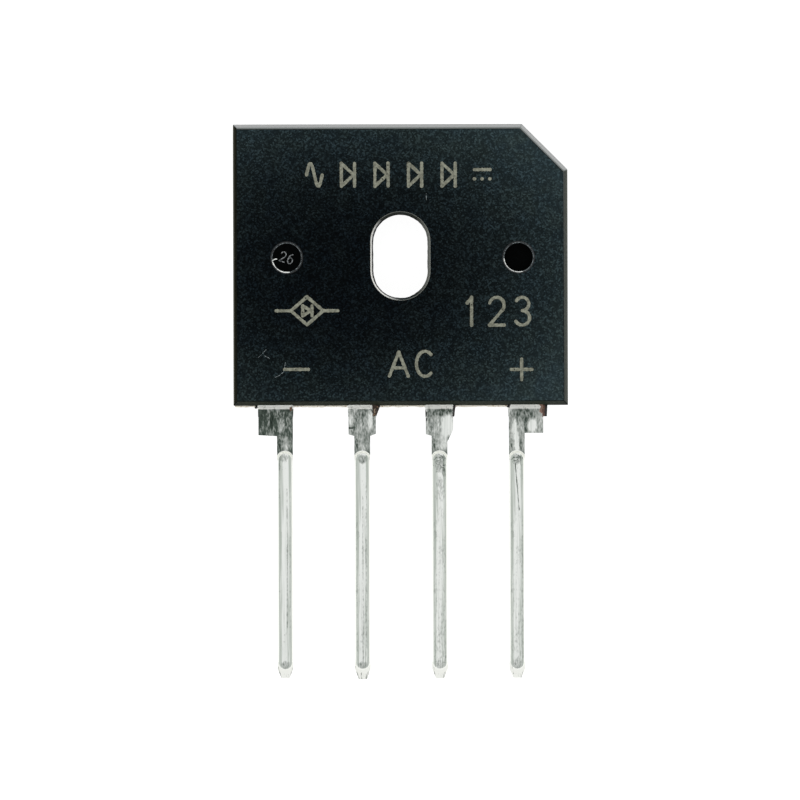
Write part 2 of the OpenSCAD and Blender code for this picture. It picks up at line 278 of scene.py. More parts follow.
# %% Stand the strip lamp, in metres and watts
STRIP_PLACE = (0.30, 0.50, 0.09)
STRIP_SIZE = (0.50, 0.10)
STRIP_POWER = 1.1
strip = bpy.data.lights.new("strip lamp", "AREA")
strip.shape = "RECTANGLE"
strip.size, strip.size_y = STRIP_SIZE
strip.energy = STRIP_POWER
holder = new_object("strip lamp", strip)
holder.location = STRIP_PLACE
holder.rotation_euler = Vector(STRIP_PLACE).to_track_quat("Z", "Y").to_euler()
print("strip lamp:", STRIP_POWER, "W")

# %% [markdown]
# ## A copy of a solid that can be finished
# The model's meshes are loose triangles. To round an edge, the triangles first have to be one skin with
# whole flat faces. So a copy is made, its doubled corners are merged, and triangles that lie in one plane
# are joined. The copy stands for the model's own node, which stays in the frame unseen.

# %% Helper for a merged copy
# Corners closer than this in mm are one, and faces that bend less than this are one flat face
WELD = 0.0002
FLAT_DEGREES = 0.4


def merged_copy(node, name):
    """A bmesh of a node with its corners merged and its flat faces joined, and the object it will fill."""
    form = bmesh.new()
    form.from_mesh(frame["nodes"][node].data)
    bmesh.ops.remove_doubles(form, verts=form.verts, dist=WELD * MM)
    flat = math.radians(FLAT_DEGREES)
    bmesh.ops.dissolve_limit(form, angle_limit=flat, verts=form.verts, edges=form.edges)
    bmesh.ops.recalc_face_normals(form, faces=form.faces)
    return form, new_object(name, bpy.data.meshes.new(name))


# %% [markdown]
# ## Which face of the moulding is which
# Black epoxy compound is the same stuff all over. Its two broad faces are spark-eroded to a fine matt; the
# side walls, the top wall and the slot's wall each have their own roughness and shine, the top wall and the
# slot's wall the smoothest. The walls' colours are lit and shaded copies of the compound, painted light and
# shade: the top and right walls are painted lighter, the left wall darker, and the slot's wall grey as a
# painted reflection. So each face is named by where it lies and how it leans. Faces inside, against the
# copper, are sealed and never seen.

# %% Name the faces of the moulding
PLACES = [
    "matt_face", "left_wall", "right_wall", "lead_wall", "top_wall",
    "slot_wall", "pin_mark", "mark_rim", "rounded_edge", "sealed_inside",
]
EJECTOR = (-7.45, -0.1)
SUPPORT = (7.75, -0.1)
# How far a round mark and the slot reach, the height that no mark goes below, and the depth of a mark's rim
MARK_REACH = 1.3
SLOT_REACH = (2.2, 3.2)
MARKS_ABOVE = 2.2
RIM_DEPTH = 0.06
# The upright part of the normal of a level face, of the slot's wall, and of the drafted walls
LEVEL = 0.99
STEEP = 0.3
LEANS = (0.1, 0.2)
# The part of the normal along the leads from which a wall, the cut corner among them, counts as an end wall
ENDWAYS = 0.5
# The least distance of an outer wall from the block's middle, and the play that heights are compared with
WALLS_FROM = 7
PLAY = 0.005
middle_y = (body_low.y + body_high.y) / 2 / MM


def place_of(face):
    """The name of the place that a face of the moulding lies in."""
    centre = face.calc_center_median() / MM
    towards = face.normal
    lean = abs(towards.z)
    at_mark = any(math.hypot(centre.x - x, centre.y - y) < MARK_REACH for x, y in (EJECTOR, SUPPORT))
    if at_mark and all(vert.co.z > MARKS_ABOVE * MM for vert in face.verts):
        if lean < LEVEL or abs(centre.z - face_z) > PLAY:
            return "mark_rim" if centre.z > face_z - RIM_DEPTH else "pin_mark"
    if towards.z > LEVEL and centre.z > face_z - PLAY or towards.z < -LEVEL and centre.z < PLAY:
        return "matt_face"
    if abs(centre.x) < SLOT_REACH[0] and abs(centre.y) < SLOT_REACH[1] and lean < STEEP:
        return "slot_wall"
    outwards = towards.x * centre.x + towards.y * (centre.y - middle_y)
    if LEANS[0] < lean < LEANS[1] and outwards > WALLS_FROM:
        if abs(towards.y) > ENDWAYS:
            return "top_wall" if towards.y > 0 else "lead_wall"
        return "right_wall" if towards.x > 0 else "left_wall"
    return "sealed_inside"


moulding_form, moulding = merged_copy("moulded_body", "moulding")
counts = dict.fromkeys(PLACES, 0)
for face in moulding_form.faces:
    word = place_of(face)
    counts[word] += 1
    face.material_index = PLACES.index(word)
print("faces of the moulding:", counts)

# %% [markdown]
# ## Edges of the moulding
# No moulded edge is a perfect line. The steel's own corners are rounded by a few hundredths of a
# millimetre, and the edge of the top wall has worn rounder than the others, so it shows as a line of
# light. A Bevel modifier does that, led by a weight on each edge: the outline, the parting line and both
# mouths of the slot get one. The sealed inside doesn't, and nor do the upright edges of the slot, which
# only follow its curve. A Weighted Normal modifier then keeps the broad faces flat right up to their
# rounded edges. The paler colour of the rounded edges along the top wall and at the slot's mouths is a
# painted highlight, laid on further down.

# %% Round the outer edges, by weights that are shares of the worn edge's width
EDGE_ROUND = 0.13
WORN, SHARPER, SLOT_MOUTH = 1.0, 0.3, 0.12
# The worn edge lies this far over the parting line, and an edge that climbs this far is upright, in mm
WORN_ABOVE = 0.5
UPRIGHT = 0.1
# Faces that bend less than the first angle shade as one curve, and edges over the second are rounded
CREASE_DEGREES = 25
ROUND_DEGREES = 9
outer_places = set(PLACES[:6])
weight = moulding_form.edges.layers.float.new("bevel_weight_edge")
rounded = 0
for edge in moulding_form.edges:
    bend = math.degrees(edge.calc_face_angle(0))
    edge.smooth = bend < CREASE_DEGREES
    touched = {PLACES[face.material_index] for face in edge.link_faces}
    if len(edge.link_faces) != 2 or not touched <= outer_places:
        continue
    lowest, highest = sorted(vert.co.z / MM for vert in edge.verts)
    if touched == {"slot_wall"} and highest - lowest > UPRIGHT:
        edge.smooth = True
    elif bend > ROUND_DEGREES:
        worn_and_highlit = "top_wall" in touched and lowest > parting_z + WORN_ABOVE
        edge[weight] = WORN if worn_and_highlit else SLOT_MOUTH if "slot_wall" in touched else SHARPER
        edge.smooth = True
        rounded += 1
for face in moulding_form.faces:
    face.smooth = True
moulding_form.to_mesh(moulding.data)
moulding_form.free()
bevel = moulding.modifiers.new("rounded mould edges", "BEVEL")
bevel.limit_method = "WEIGHT"
bevel.width = EDGE_ROUND * MM
bevel.segments = 2
bevel.material = PLACES.index("rounded_edge")
flat_faces = moulding.modifiers.new("broad faces stay flat", "WEIGHTED_NORMAL")
flat_faces.weight = 100
flat_faces.keep_sharp = True
print("rounded edges:", rounded)

# %% [markdown]
# ## Black epoxy moulding compound
# The compound is epoxy filled with silica and blackened with carbon. Where the mould was matt, the skin is
# a field of tiny facets a tenth of a millimetre across, and now and then one of them catches the light. So
# each cell of a Voronoi pattern gets its own brightness in the colour, as painted glints, and cubing it makes
# most cells dark and few bright. The middle of the face is painted darkest and the face lighter outwards,
# painted shade for how the light falls, and wide faint clouds lean to blue or to yellow. One recipe makes
# all the finishes of the compound.

# %% A recipe for the compound
# The facets' width, the middle of the painted shade and how far it reaches, how suddenly it ends, and the
# clouds, all in mm but for the suddenness and for the share that the clouds have in the tone
FACET = 0.09
PAINTED_SHADE_CENTRE = (-4.0, -1.2, 0.0)
PAINTED_SHADE_REACH = (17.3, 12.0, 1000.0)
PAINTED_SHADE_EDGE = 2.6
CLOUD, CLOUD_SHARE = 1.1, 0.24
COOLER, WARMER = (0.97, 1.0, 1.06, 1), (1.03, 1.0, 0.95, 1)


def painted_shade_and_clouds(tree, here, dark, light):
    """The compound's colour without its facets, painted darker towards the middle as shade and clouded, and
    how far it is from dark to light.
    """
    from_centre = add_node(tree, "ShaderNodeVectorMath", {0: here, 1: PAINTED_SHADE_CENTRE}, operation="SUBTRACT")
    squeezed = add_node(tree, "ShaderNodeVectorMath", {
        0: from_centre.outputs[0], 1: PAINTED_SHADE_REACH,
    }, operation="DIVIDE")
    far = add_node(tree, "ShaderNodeVectorMath", {0: squeezed.outputs[0]}, operation="LENGTH")
    tone = add_node(tree, "ShaderNodeMath", {0: far.outputs["Value"], 1: PAINTED_SHADE_EDGE}, operation="POWER")
    cloud = add_node(tree, "ShaderNodeTexNoise", {"Vector": here, "Scale": 1 / CLOUD, "Detail": 3.0})
    clouded = add_node(tree, "ShaderNodeMath", {
        0: cloud.outputs["Fac"], 1: CLOUD_SHARE, 2: tone.outputs[0],
    }, operation="MULTIPLY_ADD")
    amount = add_node(tree, "ShaderNodeMath", {
        0: clouded.outputs[0], 1: CLOUD_SHARE / 2,
    }, operation="SUBTRACT", use_clamp=True)
    colour = add_node(tree, "ShaderNodeMix", {
        "Factor": amount.outputs[0], COLOUR_A: linear(dark), COLOUR_B: linear(light),
    }, data_type="RGBA")
    lean = add_node(tree, "ShaderNodeMapRange", {
        "Value": cloud.outputs["Color"], "From Min": 0.4, "From Max": 0.6,
    })
    hue = add_node(tree, "ShaderNodeMix", {
        "Factor": lean.outputs["Result"], COLOUR_A: COOLER, COLOUR_B: WARMER,
    }, data_type="RGBA")
    leaning = add_node(tree, "ShaderNodeVectorMath", {
        0: colour.outputs[MIXED], 1: hue.outputs[MIXED],
    }, operation="MULTIPLY")
    return leaning.outputs[0], amount.outputs[0]


def painted_glints_of(tree, facets, amount, speckle):
    """What each facet's colour is multiplied by, which paints its glint; pale places have half the contrast.
    """
    chance = add_node(tree, "ShaderNodeSeparateXYZ", {"Vector": facets.outputs["Color"]})
    cubed = add_node(tree, "ShaderNodeMath", {0: chance.outputs["X"], 1: 3.0}, operation="POWER")
    # A cubed chance is a quarter on average, so four times it less one is nothing on average
    above_mean = add_node(tree, "ShaderNodeMath", {
        0: cubed.outputs[0], 1: 4.0, 2: -1.0,
    }, operation="MULTIPLY_ADD")
    contrast = add_node(tree, "ShaderNodeMapRange", {
        "Value": amount, "To Min": speckle, "To Max": speckle / 2,
    })
    return add_node(tree, "ShaderNodeMath", {
        0: above_mean.outputs[0], 1: contrast.outputs["Result"], 2: 1.0,
    }, operation="MULTIPLY_ADD").outputs[0]


def black_epoxy(name, dark, light, speckle, rough, shine, bump):
    """Compound from dark to light; speckle is the contrast of the facets' painted glints, shine the specular
    level, bump in mm.
    """
    finish, tree, shader, here = start_finish(name)
    colour, amount = painted_shade_and_clouds(tree, here, dark, light)
    facets = add_node(tree, "ShaderNodeTexVoronoi", {"Vector": here, "Scale": 1 / FACET})
    speckled = add_node(tree, "ShaderNodeVectorMath", {
        0: colour, "Scale": painted_glints_of(tree, facets, amount, speckle),
    }, operation="SCALE")
    relief = add_node(tree, "ShaderNodeBump", {
        "Height": facets.outputs["Distance"], "Strength": 1.0, "Distance": bump * MM,
    })
    fill(shader, {
        "Base Color": speckled.outputs[0], "Normal": relief.outputs["Normal"],
        "Roughness": rough, "Specular IOR Level": shine,
    })
    return finish


# %% Give each place its finish
# Each place: name, dark and light colour, speckle, roughness, specular level, depth of the facets in mm
# Painted light and shade: the walls' colours are lit and shaded copies of one compound, lighter on the top
# and right walls, darker on the left, and grey on the slot's wall as a painted reflection
EPOXY = {
    "matt_face": ("spark-eroded black epoxy", "#070c0f", "#2a3638", 0.62, 0.62, 0.02, 0.010),
    "left_wall": ("black epoxy, left wall, painted shade", "#181914", "#23241d", 0.40, 0.75, 0.0, 0.006),
    "right_wall": ("black epoxy, right wall, painted light", "#242825", "#2a2f29", 0.40, 0.60, 0.02, 0.006),
    "lead_wall": ("black epoxy, lead-side wall, painted light and shade", "#23271f", "#2a2f29", 0.40, 0.70, 0.01, 0.006),
    "top_wall": ("black epoxy, top wall, painted light", "#2a2f30", "#3c4240", 0.45, 0.30, 0.62, 0.002),
    "slot_wall": ("black epoxy, slot wall, painted reflection", "#3a3d39", "#454843", 0.20, 0.40, 0.02, 0.0),
    # Painted shade: the floor of the pin mark and the walls of the support hole are coloured near black
    "pin_mark": ("black epoxy, pin marks, painted shade", "#010202", "#030405", 0.50, 0.40, 0.02, 0.002),
    "mark_rim": ("pressed black epoxy rim", "#121618", "#1d2224", 0.60, 0.40, 0.40, 0.002),
    "rounded_edge": ("black epoxy edge, painted highlight", "#0c1010", "#181d1e", 0.50, 0.45, 0.05, 0.002),
    "sealed_inside": ("sealed black epoxy", "#050708", "#101416", 0.50, 0.60, 0.20, 0.0),
}
epoxy_trees = {}
for word in PLACES:
    finish = black_epoxy(*EPOXY[word])
    moulding.data.materials.append(finish)
    epoxy_trees[word] = finish.node_tree
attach(moulding, "root")
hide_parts("moulded_body")
print("finishes of the compound:", len(EPOXY))

# %% [markdown]
# ## Where the compound is painted paler
# These paler tints are painted light. The left and right walls are painted paler towards the parting line,
# and the slot's right wall and its end towards the leads are painted paler as their reflection. A near-white
# painted highlight runs along the upper part of the slot's left wall. The rounded edge of the top wall and
# both mouths of the slot carry painted highlights as well. Each is a tint laid over a finish that exists
# already. Its mask is the height, the nearness of the slot, or the way that the surface faces, which makes
# it fade as a wall turns away.

# %% Masks by the way a wall faces, by height and by nearness to the slot
NEAR_SLOT = (2.6, 3.6, 1000.0)


def faces_towards(tree, direction, low, high):
    """A mask that climbs to 1 as the surface turns to face a direction."""
    facing = add_node(tree, "ShaderNodeNewGeometry").outputs["Normal"]
    turned = add_node(tree, "ShaderNodeVectorMath", {0: facing, 1: direction}, operation="DOT_PRODUCT")
    return add_node(tree, "ShaderNodeMapRange", {
        "Value": turned.outputs["Value"], "From Min": low, "From Max": high,
    }, interpolation_type="SMOOTHSTEP").outputs["Result"]


def by_height(tree, low, high):
    """A mask that climbs from 0 at the first height to 1 at the second, in mm."""
    place = add_node(tree, "ShaderNodeTexCoord").outputs["Object"]
    axes = add_node(tree, "ShaderNodeSeparateXYZ", {"Vector": place})
    return add_node(tree, "ShaderNodeMapRange", {
        "Value": axes.outputs["Z"], "From Min": low * MM, "From Max": high * MM,
    }, interpolation_type="SMOOTHSTEP").outputs["Result"]


def near_slot(tree):
    """A mask that is 1 close to the slot."""
    place = add_node(tree, "ShaderNodeTexCoord").outputs["Object"]
    squeezed = add_node(tree, "ShaderNodeVectorMath", {0: place, 1: metres(NEAR_SLOT)}, operation="DIVIDE")
    far = add_node(tree, "ShaderNodeVectorMath", {0: squeezed.outputs[0]}, operation="LENGTH")
    return add_node(tree, "ShaderNodeMath", {
        0: far.outputs["Value"], 1: 1.0,
    }, operation="LESS_THAN").outputs[0]


# %% Lay painted light, as paler tints, over the finishes
def pale_over(tree, mask, tint, amount=1.0, shine=None):
    """Lays a paler tint, painted light, over a finish where the mask is; a shine makes the specular level
    follow the mask.
    """
    shader = tree.nodes["Principled BSDF"]
    under = shader.inputs["Base Color"].links[0].from_socket
    fill(shader, {"Base Color": tinted(tree, under, mask, tint, amount)})
    if shine is not None:
        level = add_node(tree, "ShaderNodeMath", {0: mask, 1: shine}, operation="MULTIPLY")
        fill(shader, {"Specular IOR Level": level.outputs[0]})


left, right = epoxy_trees["left_wall"], epoxy_trees["right_wall"]
slot, worn_and_highlit = epoxy_trees["slot_wall"], epoxy_trees["rounded_edge"]
# Painted light: the block's side walls paler towards the parting line
pale_over(left, by_height(left, 2.6, 1.9), "#54554b")
pale_over(right, by_height(right, 3.4, 1.7), "#42463f", 0.75)
# Painted reflection on the slot's lead end and right wall, and a near-white painted highlight, with a real
# gloss, on its left wall
pale_over(slot, faces_towards(slot, (0.0, 1.0, 0.0), 0.7, 1.0), "#3b4345", 0.8)
pale_over(slot, faces_towards(slot, (-1.0, 0.0, 0.0), 0.5, 1.0), "#8d908a", 0.9)
slot_left_highlight = add_node(slot, "ShaderNodeMath", {
    0: faces_towards(slot, (0.94, 0.34, 0.0), 0.35, 0.9), 1: by_height(slot, 2.2, 2.9),
}, operation="MULTIPLY")
pale_over(slot, slot_left_highlight.outputs[0], "#f4f3ec", shine=0.6)
# Painted highlights: the rounded edges paler where they face towards the top wall, and near the slot's mouths
pale_over(worn_and_highlit, faces_towards(worn_and_highlit, (0.25, 0.97, 0.0), 0.15, 0.5), "#5a605e", shine=0.5)
pale_over(worn_and_highlit, near_slot(worn_and_highlit), "#8c8f89")
print("painted light laid on the left and right walls, the slot and the rounded edges")

# %% [markdown]
# ## Tinned copper leads
# Each lead is stamped from half-millimetre copper sheet, coined to a flat with two bevels, and plated with
# tin. Plating dulls in handling. The shoulder and the neck are mottled with stains, and their darker levels
# are painted shade for the darker light that they reflect. The shank is bright down its middle and painted
# greyer towards its bevels as shade, and the tip is a matt white. So the recipe first adds up one number,
# how stained a spot is: a level for each zone, then more or less of it in patches, streaks and wrinkles. A
# fine grain drawn out along the lead turns that number into dark and bright flecks.

# %% Masks for a band, a patch and a streak, in mm
FAR = 99.0
# The height of a lead's upper face over its middle, how deep a patch goes, and the share of its size within
# which it is whole and beyond which it has gone
UPPER_FACE = 0.25
PATCH_DEPTH = 0.3
PATCH_WHOLE, PATCH_GONE = 0.55, 1.25
STREAK_BLUR = 0.08


def window(tree, value, low, high, blur, within=None):
    """A mask that is 1 where value lies from low to high, with soft ends, and only within another mask."""
    rise = add_node(tree, "ShaderNodeMapRange", {
        "Value": value, "From Min": low - blur, "From Max": low + blur,
    }, interpolation_type="SMOOTHSTEP")
    fall = add_node(tree, "ShaderNodeMapRange", {
        "Value": value, "From Min": high - blur, "From Max": high + blur, "To Min": 1.0, "To Max": 0.0,
    }, interpolation_type="SMOOTHSTEP")
    masks = [rise.outputs["Result"], fall.outputs["Result"]]
    if within is not None:
        masks.append(within)
    mask = masks[0]
    for other in masks[1:]:
        mask = add_node(tree, "ShaderNodeMath", {0: mask, 1: other}, operation="MULTIPLY").outputs[0]
    return mask


def patch_mask(tree, here, x, y, half_width, half_height):
    """A soft oval on the upper face."""
    shifted = add_node(tree, "ShaderNodeVectorMath", {0: here, 1: (x, y, UPPER_FACE)}, operation="SUBTRACT")
    squeezed = add_node(tree, "ShaderNodeVectorMath", {
        0: shifted.outputs[0], 1: (half_width, half_height, PATCH_DEPTH),
    }, operation="DIVIDE")
    far = add_node(tree, "ShaderNodeVectorMath", {0: squeezed.outputs[0]}, operation="LENGTH")
    return add_node(tree, "ShaderNodeMapRange", {
        "Value": far.outputs["Value"], "From Min": PATCH_WHOLE, "From Max": PATCH_GONE,
        "To Min": 1.0, "To Max": 0.0,
    }, interpolation_type="SMOOTHSTEP").outputs["Result"]


def streak_mask(tree, across, along, x_top, x_bottom, half_width, top, bottom):
    """A thin line that runs from top to bottom and may slant."""
    course = add_node(tree, "ShaderNodeMapRange", {
        "Value": along, "From Min": bottom, "From Max": top, "To Min": x_bottom, "To Max": x_top,
    })
    aside = add_node(tree, "ShaderNodeMath", {0: across, 1: course.outputs["Result"]}, operation="SUBTRACT")
    thin = window(tree, aside.outputs[0], -half_width, half_width, half_width / 2)
    return window(tree, along, bottom, top, STREAK_BLUR, thin)


# %% Where the coined arches and the zones of a lead lie, in mm
ROOT_END = -10.03
NECK_TOP = -11.8
UPPER_ARCH = -13.37
LOWER_ARCH = -26.68
TIP_END = -27.35
ARCH_RADIUS = 0.42
RING_RADIUS = 0.60
TIP_RADIUS = 0.43
# How far the edges of the zones are blurred
CRISP, CLEAR, DIM, VAGUE = 0.02, 0.03, 0.15, 0.25


def from_arch(tree, across, start, end):
    """Distance from the middle of a coined arch, or from its axis where end is less than start."""
    past = add_node(tree, "ShaderNodeMath", {0: end, 1: start}, operation="SUBTRACT")
    beyond = add_node(tree, "ShaderNodeMath", {0: past.outputs[0], 1: 0.0}, operation="MAXIMUM")
    corner = add_node(tree, "ShaderNodeCombineXYZ", {"X": across, "Y": beyond.outputs[0]})
    reach = add_node(tree, "ShaderNodeVectorMath", {0: corner.outputs[0]}, operation="LENGTH")
    return reach.outputs["Value"]


def lead_zones(tree, across, aside, along):
    """A mask for each zone of a lead."""
    upper = from_arch(tree, across, UPPER_ARCH, along)
    lower = from_arch(tree, across, along, LOWER_ARCH)
    above = window(tree, along, UPPER_ARCH, 0.0, CLEAR)
    below = window(tree, along, -FAR, LOWER_ARCH, CLEAR)
    between = window(tree, along, LOWER_ARCH, UPPER_ARCH, CLEAR)
    return {
        "root": window(tree, along, ROOT_END, 0.0, CRISP),
        "shoulder": window(tree, along, NECK_TOP, 0.0, VAGUE),
        "neck": window(tree, upper, RING_RADIUS, FAR, CRISP, above),
        "ring": window(tree, upper, ARCH_RADIUS, RING_RADIUS, CRISP, above),
        "shank": window(tree, along, LOWER_ARCH - ARCH_RADIUS, UPPER_ARCH + ARCH_RADIUS, CLEAR),
        "side": window(tree, aside, ARCH_RADIUS, FAR, CRISP, between),
        "tip": window(tree, lower, TIP_RADIUS, FAR, CRISP, below),
        "tip end": window(tree, along, -FAR, TIP_END, DIM),
    }


# %% How stained a spot of tin is
# The root's stain, and what the ring round the upper arch, the shank's sides and the tip's end add to theirs
ROOT_STAIN, RING_STAIN, SIDE_STAIN, TIP_END_STAIN = -0.12, -3.0, -0.6, 0.3
# The size of the grains in mm, their share of the stain, and the pattern's speed along the lead, 1 being even
FLECK, FLECK_SHARE = 0.09, 1.45
BLOT, BLOT_SHARE = 0.45, 1.2
DRAWN = 0.35
# The size of a fold in mm, the levels of its noise that are a crease, with their blur, and a wrinkle's blur
FOLD = 0.42
CREASE = (0.475, 0.525, 0.012)
WRINKLE_BLUR = 0.1


def drawn_out(tree, here, size, slowed, rough=0.5):
    """Noise with grains of a size in mm, drawn out by slowing the pattern along the lead."""
    stretched = add_node(tree, "ShaderNodeVectorMath", {0: here, 1: (1, slowed, 1)}, operation="MULTIPLY")
    return add_node(tree, "ShaderNodeTexNoise", {
        "Vector": stretched.outputs[0], "Scale": 1 / size, "Detail": 2.0, "Roughness": rough,
    }).outputs["Fac"]


def stain_of(tree, here, across, along, zones, flecks, wear_and_shade):
    """The stain: the level of each zone, the darker shoulder and neck partly painted shade, then patches,
    streaks and wrinkles, then flecks and blots.
    """
    shoulder, neck, shank, tip = wear_and_shade["zones"]
    parts = [
        (zones["neck"], neck - shank), (zones["shoulder"], shoulder - neck),
        (zones["root"], ROOT_STAIN - shoulder), (zones["ring"], RING_STAIN), (zones["side"], SIDE_STAIN),
        (zones["tip"], tip - shank), (zones["tip end"], TIP_END_STAIN),
    ]
    parts += [(patch_mask(tree, here, *place), more) for *place, more in wear_and_shade["patches"]]
    parts += [(streak_mask(tree, across, along, *course), more) for *course, more in wear_and_shade["streaks"]]
    fold = add_node(tree, "ShaderNodeTexNoise", {"Vector": here, "Scale": 1 / FOLD, "Detail": 1.0})
    crease = window(tree, fold.outputs["Fac"], *CREASE)
    for high, low, more in wear_and_shade["wrinkles"]:
        parts.append((window(tree, along, low, high, WRINKLE_BLUR, crease), more))
    parts += [(flecks, FLECK_SHARE), (drawn_out(tree, here, BLOT, DRAWN), BLOT_SHARE)]
    # Noise is a half on average, so half of its share is taken off beforehand
    stain = shank - (FLECK_SHARE + BLOT_SHARE) / 2
    for mask, more in parts:
        stain = add_node(tree, "ShaderNodeMath", {
            0: mask, 1: more, 2: stain,
        }, operation="MULTIPLY_ADD").outputs[0]
    return stain


# %% [markdown]
# ## Bare copper where the lead was cropped
# Until the last step of manufacture a bar ties the four leads together just below the block. The press
# that cuts it away tears its stubs, and leaves raw copper, which soon goes brown. The sheared sides are
# copper all over. On the upper face the tear runs a little way in, with a ragged edge.

# %% Torn copper, and tears in the tin
TEAR_GRAIN = 0.2
TEAR_REACH = 0.35
TORN_COPPER = mottled(
    "cropped copper, tarnished", "#2a1a14", "#8a6a55", 0.22, 4.0, (0.40, 0.65),
    {"Metallic": 0.7, "Roughness": 0.5}, relief=(1.0, 0.03))


def tear_open(tree, here, colour, tears):
    """The colour with ragged tears over it, each (left, right, bottom, top, colour) in mm, and their mask."""
    ragged = add_node(tree, "ShaderNodeTexNoise", {"Vector": here, "Scale": 1 / TEAR_GRAIN, "Detail": 3.0})
    off_middle = add_node(tree, "ShaderNodeVectorMath", {
        0: ragged.outputs["Color"], 1: (0.5, 0.5, 0.5),
    }, operation="SUBTRACT")
    shaken = add_node(tree, "ShaderNodeVectorMath", {
        0: off_middle.outputs[0], 1: (TEAR_REACH, TEAR_REACH, 0.0), 2: here,
    }, operation="MULTIPLY_ADD")
    axes = add_node(tree, "ShaderNodeSeparateXYZ", {"Vector": shaken.outputs[0]})
    bare = 0.0
    for left, right, bottom, top, tint in tears:
        column = window(tree, axes.outputs["X"], left, right, CRISP)
        mask = window(tree, axes.outputs["Y"], bottom, top, CRISP, column)
        colour = tinted(tree, colour, mask, tint)
        bare = add_node(tree, "ShaderNodeMath", {0: bare, 1: mask}, operation="MAXIMUM").outputs[0]
    return colour, bare


print("finish ready:", TORN_COPPER.name)

# %% A recipe for the tin
# The width of a scored line in mm, and its pattern's speed along the lead
SCORE, SCORE_DRAWN = 0.10, 0.03
# The levels of noise between which a scored line comes up, and how strongly it is tinted
SCORED, SCORED_SHARE = (0.42, 0.66), 0.35
# How far from the axis the shank turns grey as painted shade, with its blur, and how much the scored lines
# shift that
GREY_FROM, GREY_BLUR, WAVER = 0.60, 0.16, 0.7
# The stain at which tin starts to blacken and is black
BLACKENS = (0.85, 1.7)
# The roughness of clean and of stained tin, what matt tin adds to it, and the depth of the grain in mm
CLEAN_ROUGH, STAINED_ROUGH, MATT_ROUGH = 0.30, 0.50, 0.45
RELIEF_DEPTH = 0.008
TIN, GREYER_TIN, SCORED_TIN, MATT_TIN = "#f6f9f5", "#c8cfc7", "#aab3aa", "#f8f9f5"
STAINED_TIN, BLACKENED_TIN = "#566159", "#232b26"


def tinned_copper(name, centre, wear_and_shade):
    """Tin with its stains, its painted shade and its tears, for the lead whose middle is at centre in mm."""
    finish, tree, shader, here = start_finish(name, (centre, 0, parting_z))
    axes = add_node(tree, "ShaderNodeSeparateXYZ", {"Vector": here})
    across, along = axes.outputs["X"], axes.outputs["Y"]
    aside = add_node(tree, "ShaderNodeMath", {0: across}, operation="ABSOLUTE").outputs[0]
    zones = lead_zones(tree, across, aside, along)
    flecks = drawn_out(tree, here, FLECK, DRAWN, 0.6)
    scores = drawn_out(tree, here, SCORE, SCORE_DRAWN)
    stain = stain_of(tree, here, across, along, zones, flecks, wear_and_shade)
    stained = add_node(tree, "ShaderNodeClamp", {"Value": stain}).outputs[0]
    blackened = add_node(tree, "ShaderNodeMapRange", {
        "Value": stain, "From Min": BLACKENS[0], "From Max": BLACKENS[1],
    })
    scored = add_node(tree, "ShaderNodeMapRange", {
        "Value": scores, "From Min": SCORED[0], "From Max": SCORED[1],
    })
    wavering = add_node(tree, "ShaderNodeMath", {0: scores, 1: WAVER, 2: aside}, operation="MULTIPLY_ADD")
    # Painted shade: the shank greyer towards its bevels
    greyer = window(tree, wavering.outputs[0], GREY_FROM, FAR, GREY_BLUR, zones["shank"])
    matt = zones["root"]
    for word in ("ring", "tip"):
        matt = add_node(tree, "ShaderNodeMath", {0: matt, 1: zones[word]}, operation="MAXIMUM").outputs[0]
    colour = tinted(tree, TIN, greyer, GREYER_TIN)
    for mask, tint, amount in (
        (scored.outputs["Result"], SCORED_TIN, SCORED_SHARE), (matt, MATT_TIN, 1.0),
        (zones["side"], MATT_TIN, 1.0), (stained, STAINED_TIN, 1.0),
        (blackened.outputs["Result"], BLACKENED_TIN, 1.0),
    ):
        colour = tinted(tree, colour, mask, tint, amount)
    colour, bare = tear_open(tree, here, colour, wear_and_shade["tears"])
    plated = add_node(tree, "ShaderNodeMath", {0: 1.0, 1: bare}, operation="SUBTRACT")
    grain = add_node(tree, "ShaderNodeMath", {0: flecks, 1: scores}, operation="ADD")
    relief = add_node(tree, "ShaderNodeBump", {
        "Height": grain.outputs[0], "Strength": 0.6, "Distance": RELIEF_DEPTH * MM,
    })
    dull = add_node(tree, "ShaderNodeMapRange", {
        "Value": stained, "To Min": CLEAN_ROUGH, "To Max": STAINED_ROUGH,
    })
    rough = add_node(tree, "ShaderNodeMath", {
        0: matt, 1: MATT_ROUGH, 2: dull.outputs["Result"],
    }, operation="MULTIPLY_ADD")
    fill(shader, {
        "Base Color": colour, "Metallic": plated.outputs[0],
        "Roughness": rough.outputs[0], "Normal": relief.outputs["Normal"],
    })
    return finish
